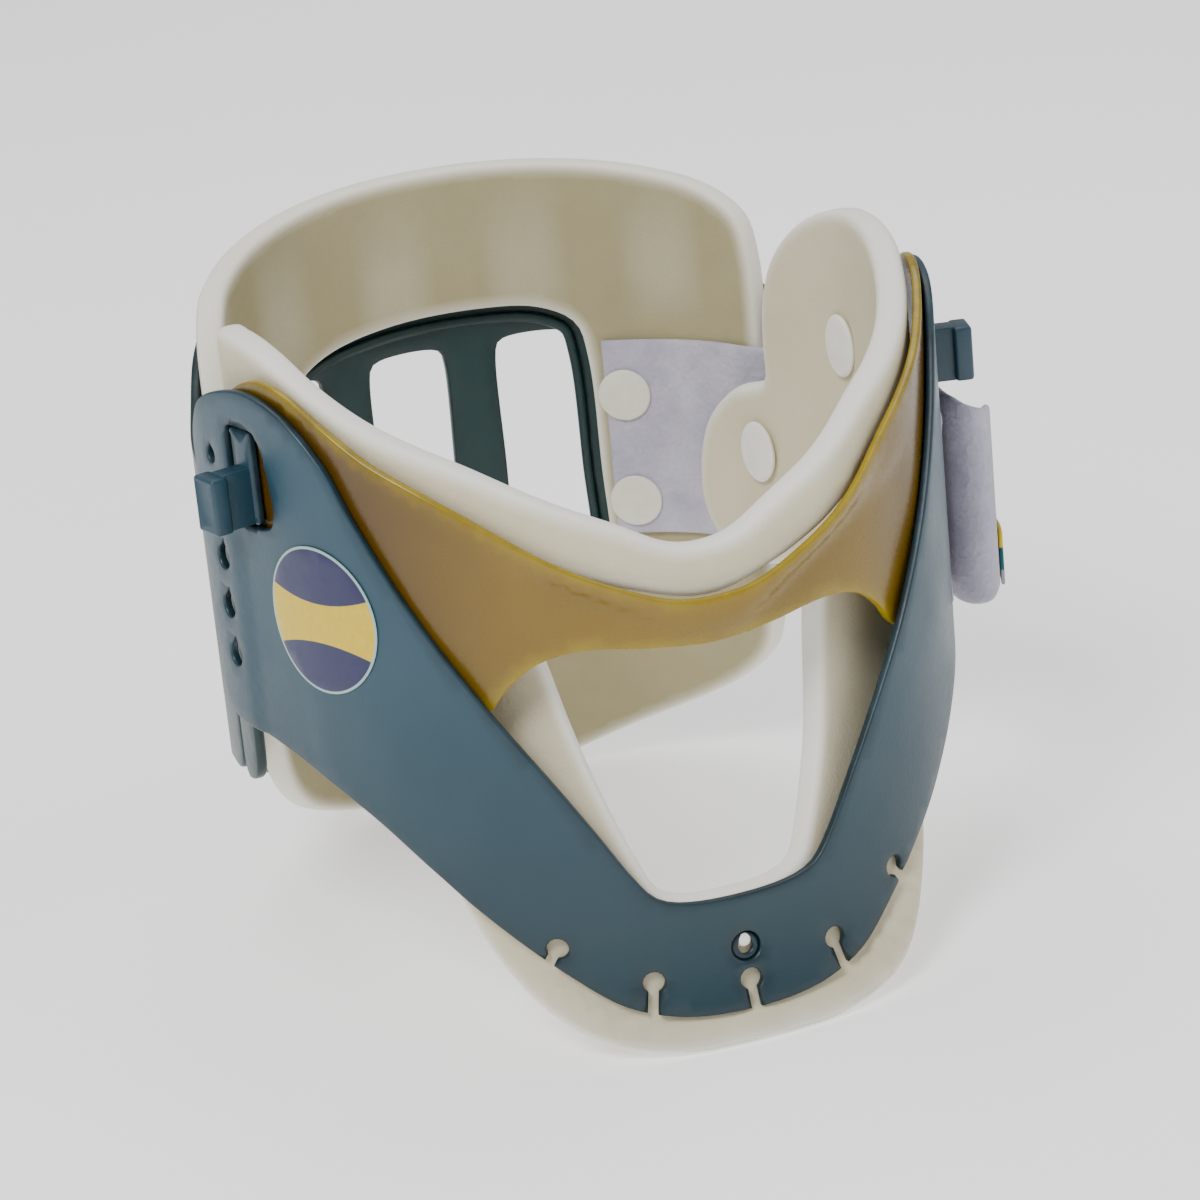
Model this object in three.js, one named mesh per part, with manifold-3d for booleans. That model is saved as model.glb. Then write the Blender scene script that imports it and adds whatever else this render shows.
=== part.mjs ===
// Adjustable two-piece extrication collar: front frame, sliding chin support, rear panel and strap.
// Millimetres. +X is the wearer's left, -Y the wearer's front, +Z up, and z = 0 is the table.
// Every shell is drawn flat, as angle from the front (degrees) against height, and then bent
// round the neck ring; a layer's depth is counted outwards from the inner face of the front frame.
import * as THREE from "three";
import { mergeVertices } from "three/addons/utils/BufferGeometryUtils.js";
import { TessellateModifier } from "three/addons/modifiers/TessellateModifier.js";
import Module from "manifold-3d";

const wasm = await Module();
wasm.setup();

// Neck ring
const RING_X = 73; // half width of the ring
const RING_Y = 76; // half depth of the ring
const RING_POWER = 2.25; // 2 would be an ellipse
const RING_CENTRE_Y = -3;
const FLAT_R = 75; // radius at which flat drawings are unrolled
const FLARE = 6; // how far the chest edge leans out at the table
const FLARE_TOP = 26;
const SLACK = 0.12; // how far a bent face may be from its true curve

// Sheets
const FRAME_T = 1.8;
const CHIN_T = 1.8;
const REAR_T = 2.2;
const FOAM_T = 6.2;
const CHEST_FOAM_T = 5.8;
const STRAP_T = 1.2;
const GAP = 0.4;
const REAR_OUT = 0.6; // depth of the rear frame's outer face
const WING_OUT = 1.6; // how far the wings stand out to clear the rear frame

// Hardware
const STRAP_LOW = 55;
const STRAP_HIGH = 100;
const LOCK_ANGLE = 73.6;
const LOCK_TOP = 121.8;
const LOCK_LOW = 103;

const rad = THREE.MathUtils.degToRad;
const smooth = THREE.MathUtils.smoothstep;

// --- the ring ---------------------------------------------------------------------------------

function ringRadius(angle, z) {
  const c = Math.cos(rad(angle));
  const x = Math.abs(Math.sin(rad(angle))) / RING_X;
  const y = Math.abs(c) / RING_Y;
  const lean = Math.max(0, (FLARE_TOP - z) / FLARE_TOP);
  return (x ** RING_POWER + y ** RING_POWER) ** (-1 / RING_POWER) +
    FLARE * Math.max(0, c) ** 2 * lean ** 2;
}

function onRing(angle, z, depth) {
  const r = ringRadius(angle, z) + depth;
  return new THREE.Vector3(r * Math.sin(rad(angle)), RING_CENTRE_Y - r * Math.cos(rad(angle)), z);
}

// Depths of the layers' reference faces
const wingDepth = (angle) => WING_OUT * smooth(Math.abs(angle), 70, 88);

// Height of the chin support's rim at the middle of the chin, and the ledge that swells below it
const rimHeight = (angle) => 89 + 0.62 * Math.max(0, Math.abs(angle) - 4);
function ledge(angle, z) {
  const a = Math.abs(angle);
  const reach = 11 - 0.22 * a;
  return 3 * (1 - smooth(rimHeight(a) - z, 0.3 * reach, reach)) * (1 - smooth(a, 18, 36));
}

const chinDepth = (angle, z) => wingDepth(angle) - GAP + ledge(angle, z);
const chinFoamDepth = (angle, z) =>
  -GAP - CHIN_T - 1.1 + ledge(angle, z) - 8.4 * smooth(Math.abs(angle), 86, 113);

// The chest foam leans towards the neck as it rises and rolls out under the frame's lower edge.
const frameFoot = [[0, 4.6], [10, 5.6], [18, 9], [25, 15.5], [31.5, 22.7], [38, 30.5], [48, 42]];
function footHeight(angle) {
  const a = Math.min(Math.abs(angle), 47.9);
  const i = frameFoot.findIndex(([b]) => b > a) - 1;
  const [[a0, z0], [a1, z1]] = [frameFoot[i], frameFoot[i + 1]];
  return z0 + ((a - a0) / (a1 - a0)) * (z1 - z0);
}

function chestFoamDepth(angle, z) {
  const lean = 3.8 * smooth(z, 18, 46) + 6.8 * smooth(z, 38, 78);
  const clear = 1.2 + 1.1 * smooth(Math.abs(angle), 0, 5) + 1.9 * smooth(Math.abs(angle), 8, 20);
  const below = Math.min(1, Math.max(0, (footHeight(angle) - clear - z) / 2.3));
  return 6 * below * (1 - smooth(Math.abs(angle), 20, 42)) - GAP - lean;
}

// --- flat drawing -----------------------------------------------------------------------------

const flat = (angle, z) => new THREE.Vector2(FLAT_R * rad(angle), z);

// Smooth closed outline through points given as [angle, height]
function outline(points, step = 6) {
  const spline = new THREE.CatmullRomCurve3(
    points.map(([a, z]) => new THREE.Vector3(FLAT_R * rad(a), z, 0)), true);
  const count = Math.max(12, Math.round(spline.getLength() / step));
  return spline.getSpacedPoints(count).slice(0, count).map((p) => new THREE.Vector2(p.x, p.y));
}

// Half outline from the middle of the front to the middle again, mirrored to the other side
const mirrored = (half) => [
  ...half,
  ...half.slice(1, -1).reverse().map(([a, z]) => [-a, z]),
];

function roundPath(angle, z, radius, stretch = 1, count = 14) {
  const c = flat(angle, z);
  return Array.from({ length: count }, (_, i) => {
    const t = (2 * Math.PI * i) / count;
    return new THREE.Vector2(c.x + radius * Math.cos(t), c.y + stretch * radius * Math.sin(t));
  });
}

// Hole that is round below and pointed above
function dropPath(angle, z, radius) {
  const c = flat(angle, z);
  const points = [new THREE.Vector2(c.x, c.y + 1.5 * radius)];
  for (let t = 140; t <= 400; t += 52)
    points.push(new THREE.Vector2(
      c.x + radius * Math.cos(rad(t)), c.y + radius * Math.sin(rad(t))));
  return points;
}

// Slot that opens through the lower edge and ends in a round eye, leaning by tilt degrees
function keyhole(angle, z, tilt) {
  const [eye, neck, length] = [2.1, 1, 14];
  const spread = Math.asin(neck / eye);
  const points = [];
  for (let i = 0; i <= 8; i++) {
    const t = spread + ((2 * Math.PI - 2 * spread) * i) / 8 - Math.PI / 2;
    points.push(new THREE.Vector2(eye * Math.cos(t), eye * Math.sin(t)));
  }
  points.push(new THREE.Vector2(-neck, -length), new THREE.Vector2(neck, -length));
  const c = flat(angle, z);
  return points.map((p) => p.rotateAround(new THREE.Vector2(), rad(tilt)).add(c));
}

// --- solids -----------------------------------------------------------------------------------

function bare(geometry) {
  const g = geometry.clone();
  g.deleteAttribute("normal");
  g.deleteAttribute("uv");
  return mergeVertices(g, 1e-4);
}

function toSolid(geometry) {
  const g = bare(geometry);
  return new wasm.Manifold(new wasm.Mesh({
    numProp: 3,
    vertProperties: g.attributes.position.array,
    triVerts: new Uint32Array(g.index.array),
  }));
}

function toGeometry(solid) {
  const m = solid.getMesh();
  return new THREE.BufferGeometry()
    .setAttribute("position", new THREE.BufferAttribute(m.vertProperties, 3))
    .setIndex(new THREE.BufferAttribute(m.triVerts, 1));
}

// Bends a flat slab of the given outline round the ring; depth(angle, z) is its outer face.
// Heights are squeezed while the slab is split, because most sheets only curve sideways.
function shell({ points, holes = [], cuts = [], thickness, depth, long = 9, squeeze = 0.25 }) {
  const slab = (path) => new THREE.ExtrudeGeometry(path, {
    depth: thickness, bevelEnabled: false, steps: 1,
  });
  const shape = new THREE.Shape(points);
  shape.holes = holes.map((h) => new THREE.Path(h));
  let solid = toSolid(slab(shape));
  for (const cut of cuts) solid = solid.subtract(toSolid(slab(new THREE.Shape(cut))));
  const g = toGeometry(solid).toNonIndexed();
  g.scale(1, squeeze, 1);
  const split = bare(new TessellateModifier(long, 12).modify(g));
  split.scale(1, 1 / squeeze, 1);
  const pos = split.attributes.position;
  for (let i = 0; i < pos.count; i++) {
    const angle = THREE.MathUtils.radToDeg(pos.getX(i) / FLAT_R);
    const p = onRing(angle, pos.getY(i), depth(angle, pos.getY(i)) - pos.getZ(i));
    pos.setXYZ(i, p.x, p.y, p.z);
  }
  turnOut(split);
  return toGeometry(toSolid(split).simplify(SLACK));
}

// The bend turns the slab inside out, so its faces are wound the other way.
function turnOut(geometry) {
  const index = geometry.index.array;
  for (let i = 0; i < index.length; i += 3)
    [index[i + 1], index[i + 2]] = [index[i + 2], index[i + 1]];
}

// Places a geometry whose +Z points outwards, square to the face that depth(angle, z) describes
function mount(geometry, angle, z, depth, shift = 0) {
  const at = (a, h) => onRing(a, h, depth(a, h));
  const across = at(angle + 1, z).sub(at(angle - 1, z)).normalize();
  const up = at(angle, z + 1).sub(at(angle, z - 1)).normalize();
  const out = new THREE.Vector3().crossVectors(across, up).normalize();
  const m = new THREE.Matrix4().makeBasis(across, out.clone().cross(across), out);
  return geometry.clone().applyMatrix4(m.setPosition(at(angle, z).addScaledVector(out, shift)));
}

// Round head facing the neck, on a plain shank; +Z outwards, z = 0 under the head
function rivet(headR, headH, shankR, shankL) {
  const r = 0.6 * headH;
  const profile = [
    [0, -headH], [headR - r, -headH], [headR - 0.3 * r, -headH + 0.3 * r], [headR, -headH + r],
    [headR, 0], [shankR, 0], [shankR, shankL], [0, shankL], [0, -headH],
  ].map(([x, y]) => new THREE.Vector2(x, y));
  return new THREE.LatheGeometry(profile, 12).rotateX(Math.PI / 2);
}

// Band of even thickness that stands on edge and follows a plan curve of [angle, depth] points
function band(plan, low, high, thickness, count) {
  const spline = new THREE.CatmullRomCurve3(plan.map(([a, d]) => onRing(a, 60, d).setZ(0)));
  const side = (s) => Array.from({ length: count + 1 }, (_, i) => {
    const p = spline.getPointAt(i / count);
    const t = spline.getTangentAt(i / count);
    return new THREE.Vector2(p.x - s * t.y, p.y + s * t.x);
  });
  const path = new THREE.Shape([...side(thickness / 2), ...side(-thickness / 2).reverse()]);
  return new THREE.ExtrudeGeometry(path, { depth: high - low, bevelEnabled: false })
    .translate(0, 0, low);
}

// --- outlines ---------------------------------------------------------------------------------

const FRAME = outline(mirrored([
  [0, 4.6], [10, 5.6], [18, 9], [25, 15.5], [31.5, 22.7], [38, 30.5], [44, 38], [53, 47.5],
  [64.5, 54.5], [76, 57.5], [85, 58.6], [88.6, 60.5], [89.6, 66], [90, 80], [90.3, 95],
  [91, 108], [90.6, 117], [86, 124.5], [78, 128.6], [70, 129.6], [62.5, 126.8], [56, 119.6],
  [51, 108.5], [43.7, 92.5], [33, 71], [26, 57.5], [20, 45], [15.5, 35], [12.5, 29.8],
  [9.5, 28], [0, 27],
]));

const LOCK_WINDOW = [
  [69.7, 122.1], [67.6, 115], [66.6, 107.5], [67.6, 103.4], [70.5, 102.3], [77.4, 102.3],
  [77.4, 122.1],
];

const CHIN = outline(mirrored([
  [0, 78.8], [10, 80], [20, 81.2], [26, 79.4], [30.5, 75], [34, 69.5], [39, 67], [46, 69.5],
  [54, 77], [62, 83], [71, 84], [76.5, 79], [78.4, 72], [80, 69.6], [81.6, 71.5], [82, 80],
  [82, 98], [82, 115], [80.5, 125], [76, 129.5], [70, 131.8], [64, 130.9], [57, 126.4],
  [48.7, 119.8], [41, 114.6], [32, 107.8], [23, 100.6], [14, 94.2], [6, 89.8], [0, 89],
]));

const CHIN_FOAM = outline(mirrored([
  [0, 88], [12, 92], [24, 98], [36, 101.5], [48, 100.5], [58, 92], [68, 81], [80, 71],
  [92, 63], [105, 56.5], [117, 53.5], [126, 56], [130.5, 64], [131, 74], [128, 85],
  [121, 92.5], [114, 95], [110.6, 96.6], [110.4, 104], [109.6, 114], [106, 124.5],
  [99, 132.5], [91, 136.2], [80, 137.2], [71, 135.4], [62, 131], [49.6, 124.6], [36.7, 118.5],
  [25, 112], [13, 104.8], [5, 99.4], [0, 98.4],
]));

const CHEST_FOAM = outline(mirrored([
  [0, 26.4], [7, 26.8], [11.4, 29], [14, 35], [17.4, 45], [22.5, 62], [27, 78.5], [29, 83.5],
  [33.5, 85.6], [41, 85], [46.5, 80], [48.6, 70], [48.8, 56], [47.4, 45], [43.6, 35],
  [38, 22.6], [32, 13.2], [26, 7], [20, 3], [14, 0.9], [8, 0], [4, 0], [0, 0],
])).map((p) => p.setY(Math.max(0, p.y < 0.3 ? 0 : p.y)));

const REAR_FOAM = outline([
  [174, 0], [180, 0], [186, 0], [191, 0], [196, 0.1], [204, 1.6], [214, 5.2], [224, 11.5],
  [231, 21], [235, 36], [239, 66], [242, 96], [243, 114], [241.5, 125], [237, 131.5],
  [229, 135.2], [216, 138.8], [199, 141.6], [180, 142.4], [160, 141], [143, 138],
  [130, 133.8], [123, 128], [120.8, 119], [120.4, 100], [120.4, 66], [121, 38], [123, 29],
  [128, 22.4], [137, 15.6], [150, 9], [162, 3.6], [169, 0.8],
]).map((p) => p.setY(p.y < 0.3 ? 0 : p.y));

const REAR_OPENING = outline([
  [154.4, 96], [156, 103.6], [162, 108], [174, 109.8], [191, 109.6], [205, 106.8],
  [212, 102.4], [214.6, 94], [215.4, 70], [215, 46], [212, 39.6], [204, 37], [184, 36],
  [164, 37], [156.6, 39.8], [153.8, 46], [153.8, 70],
], 4);

const REAR_FRAME = outline([
  [109, 44], [113, 41.6], [120, 38.4], [129, 29], [141, 20], [158, 12], [176, 8.4], [192, 8],
  [208, 10.6], [223, 17.6], [235, 27.5], [246, 36], [256, 39.6], [263, 41], [265.6, 44],
  [266.1, 52], [266.1, 74], [266.1, 98], [265.6, 103], [262, 105.2], [250, 107], [243, 110.4],
  [236, 119], [226, 125.4], [208, 130], [188, 132], [166, 131.4], [146, 128.4], [134, 124.4],
  [127, 117.4], [121, 110], [113, 106.6], [108.6, 104.4], [107.6, 100], [107.6, 74], [107.6, 48],
]);

const REAR_WINDOWS = [[156.8, 170.2], [179.2, 193], [202, 212.6]].map(([a, b]) => outline([
  [a, 72], [a, 97], [a + 0.6, 100], [a + 2.4, 101], [b - 2.4, 101], [b - 0.6, 100], [b, 97],
  [b, 72], [b, 47], [b - 0.6, 44], [b - 2.4, 43], [a + 2.4, 43], [a + 0.6, 44], [a, 47],
], 3.4));

const TAB = outline([
  [-85.4, 50], [-86.2, 44.6], [-89, 42], [-91.8, 41.4], [-92.9, 43], [-92.9, 72], [-92.9, 101.6],
  [-91.6, 104], [-87.6, 104], [-85.6, 101], [-85.2, 76],
]);

const STRAP_SLOT = outline([
  [113.7, 53.6], [117.9, 53.6], [117.9, 77], [117.9, 101.4], [113.7, 101.4], [113.7, 77],
]);

// --- materials --------------------------------------------------------------------------------

const finish = (color, roughness) =>
  new THREE.MeshStandardMaterial({ color, roughness, metalness: 0 });

const FINISH = {
  frame: () => finish(0x2c6379, 0.45),
  rear: () => finish(0x054a4e, 0.45),
  chin: () => finish(0xb59a17, 0.4),
  foam: () => finish(0xe6e1cf, 0.85),
  button: () => finish(0xefebdd, 0.6),
  loop: () => finish(0xd8d5df, 0.95),
  hook: () => finish(0xe4e2e8, 0.9),
  label: () => finish(0x1d2a8c, 0.35),
  tag: () => finish(0xd8c22a, 0.6),
};

const collar = new THREE.Group();
collar.name = "cervical_collar";
collar.position.set(-3.6, 8.5, 0); // centres the whole on its origin

function add(name, geometry, look) {
  const mesh = new THREE.Mesh(geometry, FINISH[look]());
  mesh.name = name;
  collar.add(mesh);
}

// --- front shell ------------------------------------------------------------------------------

const DROPS = [[83.3, 114.2, 1.7], [82.6, 93.2, 2.4], [82.8, 82.9, 2.4], [82.6, 72.7, 2.4]];
const CHEST_RIVET_Z = 16.5;
const sides = [-1, 1];

add("front_frame", shell({
  points: FRAME,
  holes: [
    roundPath(0, CHEST_RIVET_Z, 2.9),
    ...sides.flatMap((s) => [
      LOCK_WINDOW.map(([a, z]) => flat(s * a, z)),
      ...DROPS.map(([a, z, r]) => dropPath(s * a, z, r)),
    ]),
  ],
  cuts: [[0, 10, 0], [14, 13, 8], [-14, 13, -8], [27, 21.8, 32], [-27, 21.8, -32]]
    .map(([a, z, tilt]) => keyhole(a, z, tilt)),
  thickness: FRAME_T, depth: (angle) => wingDepth(angle) + FRAME_T,
}), "frame");

add("chin_support", shell({
  points: CHIN, thickness: CHIN_T, depth: chinDepth, squeeze: 0.7,
}), "chin");

// --- foams ------------------------------------------------------------------------------------

const CHIN_RIVETS = [["tall", 88.3, 107.9], ["low", 112.6, 80.5]];
const RIVET_HOLE = 2.8;

add("chin_foam", shell({
  points: CHIN_FOAM,
  holes: CHIN_RIVETS.flatMap(([, a, z]) => sides.map((s) => roundPath(s * a, z, RIVET_HOLE, 1, 12))),
  thickness: FOAM_T, depth: chinFoamDepth, squeeze: 0.7,
}), "foam");

add("chest_foam", shell({
  points: CHEST_FOAM,
  holes: [roundPath(0, CHEST_RIVET_Z, RIVET_HOLE, 1, 12)],
  thickness: CHEST_FOAM_T, depth: chestFoamDepth, long: 3.6, squeeze: 1,
}), "foam");

const PATCH_RIVETS = [["upper", 147.8, 87.6], ["lower", 147.4, 63]];
const REAR_FOAM_DEPTH = REAR_OUT - REAR_T - GAP;

add("rear_foam", shell({
  points: REAR_FOAM,
  holes: [
    REAR_OPENING,
    ...PATCH_RIVETS.map(([, a, z]) => roundPath(a, z, RIVET_HOLE, 1, 12)),
  ],
  thickness: FOAM_T, depth: () => REAR_FOAM_DEPTH,
}), "foam");

// --- rear shell -------------------------------------------------------------------------------

add("rear_frame", shell({
  points: REAR_FRAME,
  holes: [
    ...REAR_WINDOWS,
    ...PATCH_RIVETS.map(([, a, z]) => roundPath(a, z, RIVET_HOLE, 1, 12)),
  ],
  cuts: [STRAP_SLOT],
  thickness: REAR_T, depth: () => REAR_OUT,
}), "rear");

add("rear_frame_tab", shell({
  points: TAB, thickness: REAR_T, depth: () => REAR_OUT,
}), "rear");

// --- rivets -----------------------------------------------------------------------------------

for (const [name, angle, z] of CHIN_RIVETS)
  for (const s of sides) {
    const head = rivet(5.2, 1.5, 1.3, 3).scale(1, 1.3, 1);
    add(`${name}_lobe_rivet_${s < 0 ? "right" : "left"}`,
      mount(head, s * angle, z, (a, h) => chinFoamDepth(a, h) - FOAM_T, -0.75), "button");
  }

for (const [name, angle, z] of PATCH_RIVETS)
  add(`${name}_strap_rivet`,
    mount(rivet(5.85, 1.4, 1.5, FOAM_T + REAR_T + STRAP_T + 1),
      angle, z, () => REAR_FOAM_DEPTH - FOAM_T - GAP - STRAP_T, -0.5), "button");

add("chest_foam_rivet",
  mount(rivet(4.6, 1.4, 1.3, FOAM_T + 1.6), 0, CHEST_RIVET_Z,
    (a, h) => chestFoamDepth(a, h) - CHEST_FOAM_T, -0.5), "button");

// --- locks ------------------------------------------------------------------------------------

// A flap that hangs in the wing's window and carries a stem with a grip block
for (const s of sides) {
  const half = 2.75;
  const low = LOCK_LOW;
  const flap = shell({
    points: [
      [LOCK_ANGLE - half, LOCK_TOP], [LOCK_ANGLE - half, low],
      [LOCK_ANGLE + half, low], [LOCK_ANGLE + half, LOCK_TOP],
    ].map(([a, z]) => flat(s * a, z)),
    thickness: FRAME_T, depth: (angle) => wingDepth(angle) + FRAME_T,
  });
  const block = (width, height, from, to) => mount(
    new THREE.BoxGeometry(width, height, to - from).translate(0, 0, (from + to) / 2),
    s * LOCK_ANGLE, low + 5.8, wingDepth);
  const solid = toSolid(flap)
    .add(toSolid(block(4.6, 11.4, 1, 7.6)))
    .add(toSolid(block(7.2, 11.4, 7.2, 11)));
  add(`lock_tab_${s < 0 ? "right" : "left"}`, toGeometry(solid), "frame");
}

// --- label ------------------------------------------------------------------------------------

add("label", shell({
  points: roundPath(-58.8, 87.2, 13.6, 1.1, 36),
  thickness: 0.3, depth: (angle) => wingDepth(angle) + FRAME_T + 0.55,
}), "label");

// --- strap ------------------------------------------------------------------------------------

const PATCH_DEPTH = REAR_FOAM_DEPTH - FOAM_T - GAP - STRAP_T / 2;
const OUTSIDE = WING_OUT + FRAME_T + 0.3 + 1 + GAP + STRAP_T / 2;

const strap = toSolid(band([
  [151.4, PATCH_DEPTH], [140, PATCH_DEPTH], [130, PATCH_DEPTH], [122.6, PATCH_DEPTH],
  [118.8, PATCH_DEPTH + 0.6], [116.8, -5.6], [116, -1.6], [115.2, 1], [113.2, 2.6],
  [108, 3.8], [100, OUTSIDE - 0.8], [93, OUTSIDE], [84, OUTSIDE - 0.1], [76, OUTSIDE - 0.5],
], STRAP_LOW, STRAP_HIGH, STRAP_T, 48));
const strapHoles = PATCH_RIVETS.map(([, a, z]) =>
  toSolid(mount(new THREE.CylinderGeometry(RIVET_HOLE, RIVET_HOLE, 6, 12).rotateX(Math.PI / 2),
    a, z, () => PATCH_DEPTH)));
add("strap", toGeometry(strapHoles.reduce((solid, hole) => solid.subtract(hole), strap)), "loop");

const TAIL_START = 75.4;
add("strap_tail", band([
  [TAIL_START, OUTSIDE - 0.5], [72.4, OUTSIDE + 0.1], [70.4, OUTSIDE + 2], [70.4, OUTSIDE + 5],
  [73, OUTSIDE + 7.6], [77, OUTSIDE + 9.4], [81, OUTSIDE + 10.4],
], STRAP_LOW, STRAP_HIGH, STRAP_T, 18), "loop");

add("strap_tag", band([
  [75, OUTSIDE + 9.9], [78.4, OUTSIDE + 11.1], [81, OUTSIDE + 11.7],
], STRAP_LOW + 1, STRAP_LOW + 13, 0.8, 6), "tag");

add("hook_patch", shell({
  points: [[68.6, 56], [88.4, 61.6], [88.4, 98], [68.6, 98]].map(([a, z]) => flat(a, z)),
  thickness: 1, depth: (angle) => wingDepth(angle) + FRAME_T + 0.3 + 1,
}), "hook");

export default collar;
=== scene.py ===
import math

import bmesh
import bpy
import numpy as np
from mathutils import Matrix, Vector
from mathutils.geometry import delaunay_2d_cdt


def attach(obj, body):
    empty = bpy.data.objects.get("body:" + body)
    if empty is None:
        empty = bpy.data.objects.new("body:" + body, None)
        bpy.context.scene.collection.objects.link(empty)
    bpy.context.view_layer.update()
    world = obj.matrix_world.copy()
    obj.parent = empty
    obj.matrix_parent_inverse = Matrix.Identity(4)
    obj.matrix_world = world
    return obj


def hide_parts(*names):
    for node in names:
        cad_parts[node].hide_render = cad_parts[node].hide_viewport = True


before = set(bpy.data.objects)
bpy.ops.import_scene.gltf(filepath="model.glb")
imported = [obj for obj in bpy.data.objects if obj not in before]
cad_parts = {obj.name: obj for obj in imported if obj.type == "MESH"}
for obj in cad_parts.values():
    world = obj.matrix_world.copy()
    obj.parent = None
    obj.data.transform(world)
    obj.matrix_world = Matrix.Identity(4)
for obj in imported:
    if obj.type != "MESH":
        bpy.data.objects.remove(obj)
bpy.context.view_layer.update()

# --- the ring -------------------------------------------------------------------------------------

RING_X, RING_Y, RING_POWER, RING_CENTRE_Y = 73.0, 76.0, 2.25, -3.0
FLAT_R = 75.0
FLARE, FLARE_TOP = 6.0, 26.0
SHIFT = np.array([-3.6, 8.5, 0.0])
FRAME_T, CHIN_T, REAR_T, FOAM_T, CHEST_FOAM_T, STRAP_T = 1.8, 1.8, 2.2, 6.2, 5.8, 1.2
GAP, REAR_OUT, WING_OUT = 0.4, 0.6, 1.6
STRAP_LOW, STRAP_HIGH = 55.0, 100.0
LOCK_ANGLE, LOCK_TOP, LOCK_LOW = 73.6, 121.8, 103.0
REAR_FOAM_DEPTH = REAR_OUT - REAR_T - GAP
CHEST_RIVET_Z = 16.5
LABEL_ANGLE, LABEL_Z, LABEL_RADIUS, LABEL_STRETCH = -58.8, 87.2, 13.6, 1.1
FRAME_FOOT = np.array([[0, 4.6], [10, 5.6], [18, 9], [25, 15.5], [31.5, 22.7], [38, 30.5], [48, 42]])
MM_PER_UNIT = 100  # one unit of the flat map


def smooth(v, low, high):
    t = np.clip((np.asarray(v, float) - low) / (high - low), 0, 1)
    return t * t * (3 - 2 * t)


def ring_radius(angle, z):
    c, s = np.cos(np.radians(angle)), np.abs(np.sin(np.radians(angle)))
    lean = np.maximum(0, (FLARE_TOP - z) / FLARE_TOP)
    base = ((s / RING_X) ** RING_POWER + (np.abs(c) / RING_Y) ** RING_POWER) ** (-1 / RING_POWER)
    return base + FLARE * np.maximum(0, c) ** 2 * lean ** 2


def on_ring(angle, z, depth):
    """Points in the row frame, in metres."""
    angle, z, depth = np.broadcast_arrays(np.asarray(angle, float), z, depth)
    r = ring_radius(angle, z) + depth
    a = np.radians(angle)
    p = np.stack([r * np.sin(a), RING_CENTRE_Y - r * np.cos(a), z], -1)
    return (p + SHIFT) / 1000


def wing_depth(angle):
    return WING_OUT * smooth(np.abs(angle), 70, 88)


def rim_height(angle):
    """Height of the chin support's rim."""
    return 89 + 0.62 * np.maximum(0, np.abs(angle) - 4)


def ledge(angle, z):
    """The chin support swells outwards just below its rim."""
    a = np.abs(angle)
    reach = np.maximum(11 - 0.22 * a, 1)
    return 3 * (1 - smooth((rim_height(a) - z) / reach, 0.3, 1)) * (1 - smooth(a, 18, 36))


def frame_depth(angle, z):
    """Outer face with a raised strip along each wing's holes and a sunk panel in front of it."""
    a = np.abs(angle)
    raised = smooth(a, 77.2, 78.4) * (1 - smooth(z, 99, 102)) * np.where(angle < 0, 0.45, 0.2)
    panel = 0.3 * smooth(a, 61, 66) * (1 - smooth(a, 77.2, 78.4)) * (1 - smooth(z, 99, 103))
    return wing_depth(angle) + FRAME_T + raised - panel * smooth(z, 52, 60)


def plain_frame_depth(angle, z):
    return wing_depth(angle) + FRAME_T


def chin_depth(angle, z):
    """Outer face, sunk a little below a crease that follows the rim."""
    a = np.abs(angle)
    line = rim_height(a) - 2.5 - 0.13 * a
    step = 0.7 * (1 - smooth(z - line, -1.4, 0.6)) * smooth(a, 6, 16) * (1 - smooth(a, 36, 44))
    return wing_depth(angle) - GAP + ledge(angle, z) - step


def chin_foam_depth(angle, z):
    return -GAP - CHIN_T - 1.1 + ledge(angle, z) - 8.4 * smooth(np.abs(angle), 86, 113)


def chest_foam_depth(angle, z):
    a = np.abs(angle)
    lean = 3.8 * smooth(z, 18, 46) + 6.8 * smooth(z, 38, 78)
    clear = 1.2 + 1.1 * smooth(a, 0, 5) + 1.2 * smooth(a, 8, 20)
    below = np.clip((np.interp(a, FRAME_FOOT[:, 0], FRAME_FOOT[:, 1]) - clear - z) / 2.3, 0, 1)
    return 6 * below * (1 - smooth(a, 20, 42)) - GAP - lean


# --- flat drawing -----------------------------------------------------------------------------------

def flat(angle, z):
    return [FLAT_R * math.radians(angle), z]


def catmull(points, closed, per=14):
    """Centripetal Catmull-Rom curve, sampled per times between points."""
    p = np.asarray(points, float)
    if closed:
        q = np.vstack([p[-1:], p, p[:2]])
    else:
        q = np.vstack([2 * p[0] - p[1], p, 2 * p[-1] - p[-2]])
    out = []
    u = np.linspace(0, 1, per, endpoint=False)[:, None]
    for i in range(1, len(q) - 2):
        p0, p1, p2, p3 = q[i - 1 : i + 3]
        pairs = ((p0, p1), (p1, p2), (p2, p3))
        d0, d1, d2 = (max(np.dot(b - a, b - a) ** 0.25, 1e-4) for a, b in pairs)
        t1 = ((p1 - p0) / d0 - (p2 - p0) / (d0 + d1) + (p2 - p1) / d1) * d1
        t2 = ((p2 - p1) / d1 - (p3 - p1) / (d1 + d2) + (p3 - p2) / d2) * d1
        c2 = -3 * p1 + 3 * p2 - 2 * t1 - t2
        c3 = 2 * p1 - 2 * p2 + t1 + t2
        out.append(p1 + t1 * u + c2 * u ** 2 + c3 * u ** 3)
    if not closed:
        out.append(p[-1:])
    return np.vstack(out)


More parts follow.
